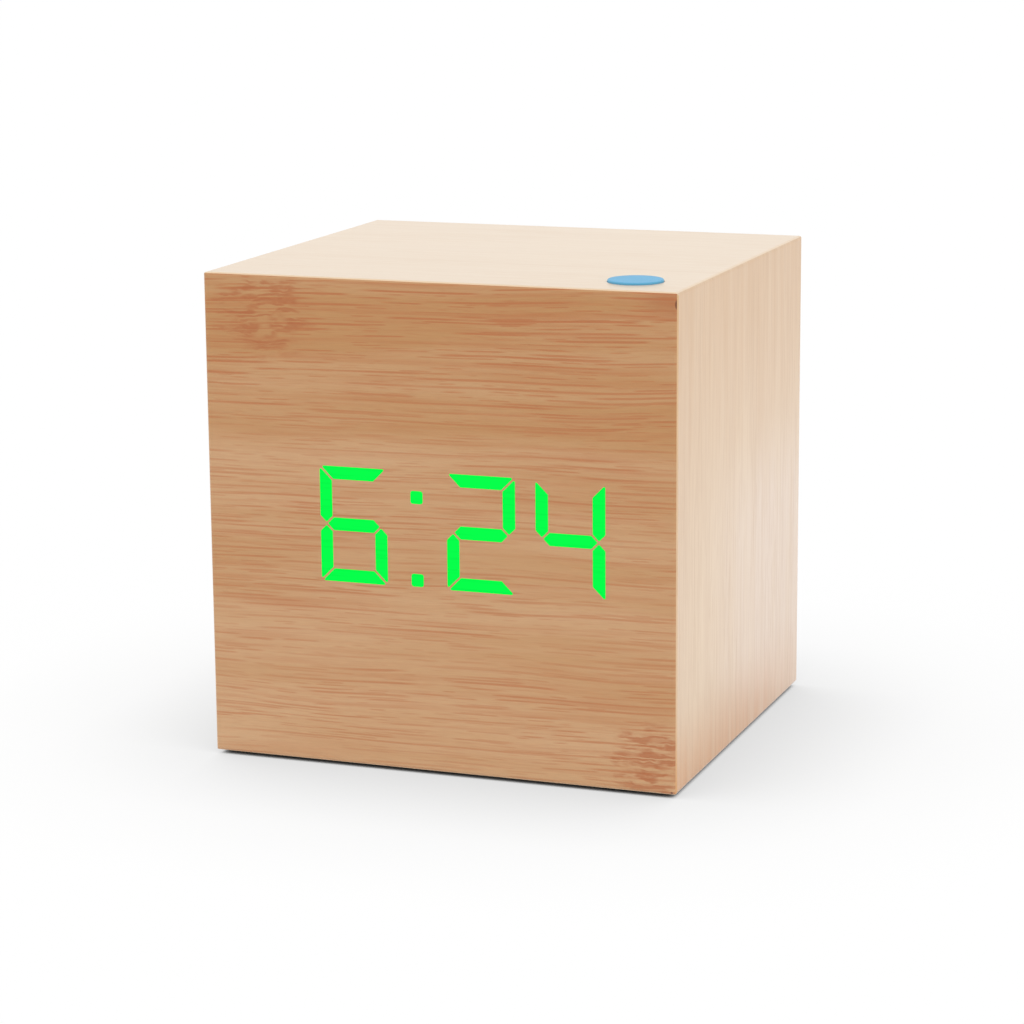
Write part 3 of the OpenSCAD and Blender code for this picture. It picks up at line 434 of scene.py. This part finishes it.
def fibre_board(name):
    """Raw brown fibre board with a few dark flecks."""
    p = Paint(name, Specular_IOR_Level=0.25)
    fluff = p.cloud(waves=2.2, detail=4.0, rough=0.7)
    fleck = p.step(p.cloud(waves=7.0, detail=1.0), low=0.62, high=0.72)
    colour = p.mix(p.step(fluff, *NOISE_RANGE), srgb(150, 116, 82), srgb(172, 138, 102))
    p.show("Base Color", p.mix(fleck, colour, srgb(120, 88, 60)))
    p.show("Roughness", p.span(fluff, low=0.78, high=0.95))
    p.bump(fluff, depth_mm=0.06, strength=0.5)
    return p.material


def circuit_board(name):
    """Green solder mask over a weave, with paler tracks that stand up a little."""
    p = Paint(name, Coat_Weight=0.4, Coat_Roughness=0.15)
    weave = p.cloud(waves=3.0)
    cells = p.node("TexVoronoi", {"Vector": p.vector(**p.at), "Scale": 0.35}, feature="DISTANCE_TO_EDGE")
    tracks = p.rest(p.step(cells.outputs[0], low=0.06, high=0.10))
    colour = p.mix(p.step(weave, *NOISE_RANGE), srgb(20, 84, 48), srgb(28, 100, 58))
    p.show("Base Color", p.mix(tracks, colour, srgb(52, 132, 78)))
    p.show("Roughness", p.span(weave, low=0.30, high=0.42))
    p.bump(tracks, depth_mm=0.03, strength=0.4)
    return p.material


# The cells' pitch and length, the room under the lowest one, and the marks on a jacket, in mm:
# where the band starts, the pale line before it, the bare ends, and how soft the marks' edges are
CELL_PITCH = 11.1
CELL_LENGTH = 44.5
CELL_ROOM = 0.3
CELL_BAND = 13.0
CELL_LINE = 0.8
NUB_BARE = 1.3
FLAT_BARE = 0.2
MARK_EDGE = 0.1
BAND_EDGE = 0.15


def cell_jacket(name, low_corner, high_corner):
    """Cell with a dark sleeve, a copper-toned band at its nub's end, and bare metal ends.
    Cells are turned about by turns, so the band changes sides with the cell's number.
    The corners are those of the box round the cells."""
    p = Paint(name)
    band_metal = 0.85
    number = p.math("FLOOR", p.over(p.minus(p.at["z"], low_corner.z - CELL_ROOM), CELL_PITCH))
    odd = p.math("MODULO", p.plus(number, 2.0), 2.0)
    side = p.rest(p.times(odd, 2.0))
    toward_nub = p.times(p.at["x"], side)
    band = p.step(toward_nub, CELL_BAND, CELL_BAND + BAND_EDGE)
    line_start = CELL_BAND - CELL_LINE
    line = p.times(p.step(toward_nub, line_start - MARK_EDGE, line_start), p.rest(band))
    nub_start = high_corner.x - NUB_BARE
    flat_start = high_corner.x - CELL_LENGTH + FLAT_BARE
    bare = p.larger(
        p.step(toward_nub, nub_start - MARK_EDGE, nub_start),
        p.step(toward_nub, flat_start + MARK_EDGE, flat_start))
    scuff = p.cloud(waves=0.9)
    colour = p.mix(p.step(scuff, low=0.35, high=0.7), srgb(38, 40, 44), srgb(50, 52, 57))
    colour = p.mix(band, colour, srgb(196, 128, 72))
    colour = p.mix(line, colour, srgb(214, 214, 210))
    p.show("Base Color", p.mix(bare, colour, srgb(206, 206, 202)))
    p.show("Metallic", p.larger(p.times(band, band_metal), bare))
    p.show("Roughness", p.span(scuff, low=0.22, high=0.38))
    p.bump(scuff, depth_mm=0.01, strength=0.15)
    return p.material


black_plastic = plastic("black_abs", srgb(30, 30, 31), rough=0.55, grain_mm=0.22, depth_mm=0.02)
white_plastic = plastic(
    "white_moulding", srgb(228, 228, 222), rough=0.5, grain_mm=0.4, depth_mm=0.01, spread=0.03)
blue_plastic = plastic("blue_cap", srgb(90, 168, 208), rough=0.5, grain_mm=0.3, depth_mm=0.01, spread=0.04)
rubber = plastic("black_rubber", srgb(34, 34, 35), rough=0.8, grain_mm=0.35, depth_mm=0.03)
chip = plastic("moulded_epoxy", srgb(36, 36, 39), rough=0.6, grain_mm=0.25, depth_mm=0.015)
resin = plastic("led_resin", srgb(222, 224, 190), rough=0.3, grain_mm=0.5, depth_mm=0.005, spread=0.04)
vinyl_grey = plastic("grey_vinyl", srgb(176, 176, 178), rough=0.5, grain_mm=0.5, depth_mm=0.01, spread=0.05)
vinyl_red = plastic("red_vinyl", srgb(188, 36, 32), rough=0.4, grain_mm=0.5, depth_mm=0.01, spread=0.08)
vinyl_black = plastic("black_vinyl", srgb(34, 34, 35), rough=0.4, grain_mm=0.5, depth_mm=0.01, spread=0.08)
sleeve = plastic(
    "capacitor_sleeve", srgb(38, 46, 92), rough=0.35, grain_mm=0.5, depth_mm=0.008, spread=0.08)
steel = metal("zinc_steel", srgb(200, 201, 204), rough=0.32)
black_steel = metal("black_steel", srgb(112, 112, 116), rough=0.36)
brass = metal("plated_brass", srgb(226, 190, 116), rough=0.25, along="y")
nickel = metal("nickel", srgb(216, 214, 208), rough=0.24, along="z")
glow = glowing("green_glow", srgb(8, 254, 74))
board = fibre_board("fibre_board")
circuit = circuit_board("circuit_board")
jacket = cell_jacket("cell_jacket", *(corner * TO_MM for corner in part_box("battery_cells")))
# Depth of the paint on a key's mark, in mm
MARK_PAINT = 0.05
keys = keyed(
    "key_plastic", srgb(66, 66, 69), srgb(226, 226, 222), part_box("set_key")[1].y * TO_MM - MARK_PAINT)

# Which pieces wear each material
DRESS = (
    (front_bamboo, ("front_veneer", "unlit_segments")),
    (top_bamboo, ("top_veneer",)),
    (left_bamboo, ("left_veneer",)),
    (right_bamboo, ("right_veneer",)),
    (bottom_bamboo, ("bottom_veneer",)),
    (rear_bamboo, ("rear_edge_band",)),
    (board, ("front_board", "top_board", "bottom_board", "left_board", "right_board")),
    (pine, ("corner_blocks",)),
    (rubber, ("feet",)),
    (glow, ("lit_segments",)),
    (white_plastic, ("display_reflector", "snooze_posts", "ribbon_sockets")),
    (resin, ("display_leds",)),
    (blue_plastic, ("snooze_button",)),
    (black_plastic, ("rear_cover", "battery_door")),
    (keys, ("set_key", "up_key", "down_key")),
    (circuit, ("display_pcb", "snooze_pcb", "main_pcb")),
    (chip, ("display_driver", "controller_chip", "buzzer", "power_socket")),
    (chip, ("snooze_switch", "key_switches")),
    (chip, ("snooze_plunger", "set_plunger", "up_plunger", "down_plunger")),
    (steel, ("display_screws", "snooze_screws", "main_pcb_screws", "snooze_ring", "clock_crystal")),
    (black_steel, ("cover_screws",)),
    (brass, ("power_socket_pin",)),
    (sleeve, ("capacitor",)),
    (jacket, ("battery_cells",)),
    (nickel, ("battery_springs", "battery_strips")),
    (vinyl_grey, ("ribbon_cable", "snooze_lead")),
    (vinyl_red, ("red_lead",)),
    (vinyl_black, ("black_lead",)),
)
looks = {name: material for material, names in DRESS for name in names}
for name, piece in nodes.items():
    piece.data.materials.clear()
    piece.data.materials.append(looks[name])


# Stage: floor, light and camera

# Half width of the floor in metres, its cells a side, its tones, and the waves per mm between them
FLOOR_SIZE = 6.0
FLOOR_CELLS = 8
FLOOR_DEEP = (0.955, 0.955, 0.955, 1.0)
FLOOR_PALE = (0.965, 0.965, 0.965, 1.0)
FLOOR_WAVES = 0.02
# Share of the floor that is plain white where it is seen
FLOOR_WHITE = 0.96
# Painted shade on that white: how far off, in metres, things darken it, and by how much
SKY_SAMPLES = 16
GAP_REACH = 0.003
GAP_OPEN = (0.05, 0.42)
CONTACT_REACH = 0.025
CONTACT_DEPTH = 0.31
SHADOW_REACH = 0.05
SHADOW_DEPTH = 0.23
# Where the painted shadow's wide light would stand, though there is no such lamp: its tilt from straight
# up, and its turn from straight behind to the left
SHADOW_TILT = math.radians(48.0)
SHADOW_TURN = math.radians(58.0)


def seen(tree):
    """1 for rays from the camera, for reflections and for what shows through a piece, and 0 for others."""
    path = tree.nodes.new("ShaderNodeLightPath")
    shown = path.outputs["Is Camera Ray"]
    for ray in ("Is Glossy Ray", "Is Transmission Ray"):
        either = tree.nodes.new("ShaderNodeMath")
        either.operation = "MAXIMUM"
        tree.links.new(shown, either.inputs[0])
        tree.links.new(path.outputs[ray], either.inputs[1])
        shown = either.outputs[0]
    return shown


def floor():
    """White table. For the camera and for reflections most of it is plain white with painted shade: it
    darkens under the object, close to it, and further out on the side away from where a wide light behind
    it would stand; the rest of it, and all that other rays meet, is lit as usual."""
    form = bmesh.new()
    bmesh.ops.create_grid(form, x_segments=FLOOR_CELLS, y_segments=FLOOR_CELLS, size=FLOOR_SIZE)
    mesh = bpy.data.meshes.new("floor")
    form.to_mesh(mesh)
    form.free()
    ground = bpy.data.objects.new("floor", mesh)
    bpy.context.scene.collection.objects.link(ground)
    p = Paint("floor_white", Roughness=0.9, Specular_IOR_Level=0.0)
    p.show("Base Color", p.mix(p.cloud(FLOOR_WAVES), FLOOR_DEEP, FLOOR_PALE))

    def open_to(reach, **aim):
        """The share of the sky, about straight up or a given aim, that nothing within reach hides."""
        return p.node("AmbientOcclusion", {"Distance": reach, **aim}, samples=SKY_SAMPLES).outputs["AO"]

    low = math.sin(SHADOW_TILT)
    behind = (-low * math.sin(SHADOW_TURN), low * math.cos(SHADOW_TURN), math.cos(SHADOW_TILT))
    gap = p.step(open_to(GAP_REACH), *GAP_OPEN)
    close = p.span(open_to(CONTACT_REACH), 1.0 - CONTACT_DEPTH, 1.0)
    cast = p.span(open_to(SHADOW_REACH, Normal=behind), 1.0 - SHADOW_DEPTH, 1.0)
    painted_shade_white = p.node("Emission", {"Strength": p.times(gap, p.times(close, cast))}).outputs[0]
    share = p.times(seen(p.tree), FLOOR_WHITE)
    blend = p.node("MixShader", {0: share, 1: p.shader.outputs[0], 2: painted_shade_white})
    p.feed(p.tree.nodes["Material Output"].inputs["Surface"], blend.outputs[0])
    mesh.materials.append(p.material)


def sky(strength):
    """White for the camera and for reflections, and an even light of a lower strength for all else."""
    world = bpy.data.worlds.new("studio")
    world.use_nodes = True
    bpy.context.scene.world = world
    tree = world.node_tree
    tree.nodes.clear()
    out = tree.nodes.new("ShaderNodeOutputWorld")
    blend = tree.nodes.new("ShaderNodeMixShader")
    lamp = tree.nodes.new("ShaderNodeBackground")
    lamp.inputs["Strength"].default_value = strength
    plain = tree.nodes.new("ShaderNodeBackground")
    for background in (lamp, plain):
        background.inputs["Color"].default_value = WHITE
    for socket, part in zip(blend.inputs, (seen(tree), lamp.outputs[0], plain.outputs[0])):
        tree.links.new(part, socket)
    tree.links.new(blend.outputs[0], out.inputs["Surface"])


def toward(azimuth, elevation):
    """The direction of an azimuth, where 0 is the front and 90 the right, and an elevation, in degrees."""
    turn, rise = math.radians(azimuth), math.radians(elevation)
    return Vector((math.sin(turn) * math.cos(rise), -math.cos(turn) * math.cos(rise), math.sin(rise)))


def soft_sun(name, strength, azimuth, elevation, spread):
    """A wide, soft lamp whose light comes from an azimuth and an elevation."""
    lamp = bpy.data.lights.new(name, "SUN")
    lamp.energy = strength
    lamp.angle = math.radians(spread)
    holder = bpy.data.objects.new(name, lamp)
    holder.rotation_mode = "QUATERNION"
    holder.rotation_quaternion = toward(azimuth, elevation).to_track_quat("Z", "Y")
    bpy.context.scene.collection.objects.link(holder)
    holder.visible_glossy = False


# The camera's sensor in mm, and the nearest that it sees in metres
SENSOR_WIDTH = 36.0
NEAREST = 0.01


def camera(azimuth, elevation, roll, distance, target, lens):
    """Camera at a distance from its target, turned about its own axis by roll.
    Angles are in degrees, lengths in metres and the lens in mm."""
    turn, tilt = math.radians(azimuth), math.radians(roll)
    back = toward(azimuth, elevation)
    right = Vector((math.cos(turn), math.sin(turn), 0.0))
    up = back.cross(right)
    across = math.cos(tilt) * right + math.sin(tilt) * up
    upward = math.cos(tilt) * up - math.sin(tilt) * right
    eye = target + distance * back
    lens_data = bpy.data.cameras.new("camera")
    lens_data.sensor_fit = "HORIZONTAL"
    lens_data.sensor_width = SENSOR_WIDTH
    lens_data.lens = lens
    lens_data.clip_start = NEAREST
    holder = bpy.data.objects.new("camera", lens_data)
    holder.matrix_world = Matrix((
        (across.x, upward.x, back.x, eye.x), (across.y, upward.y, back.y, eye.y),
        (across.z, upward.z, back.z, eye.z), (0.0, 0.0, 0.0, 1.0)))
    bpy.context.scene.collection.objects.link(holder)
    bpy.context.scene.camera = holder


floor()
sky(strength=0.78)
soft_sun("key", strength=0.95, azimuth=-40.0, elevation=50.0, spread=45.0)
soft_sun("fill", strength=0.80, azimuth=75.0, elevation=18.0, spread=50.0)
# Fitted to the edges of the case in the photo
camera(
    azimuth=20.310, elevation=12.188, roll=-0.458, distance=0.4315,
    target=Vector((-0.000516, 0.0, 0.029017)), lens=111.42)
bpy.context.scene.view_settings.view_transform = "Standard"
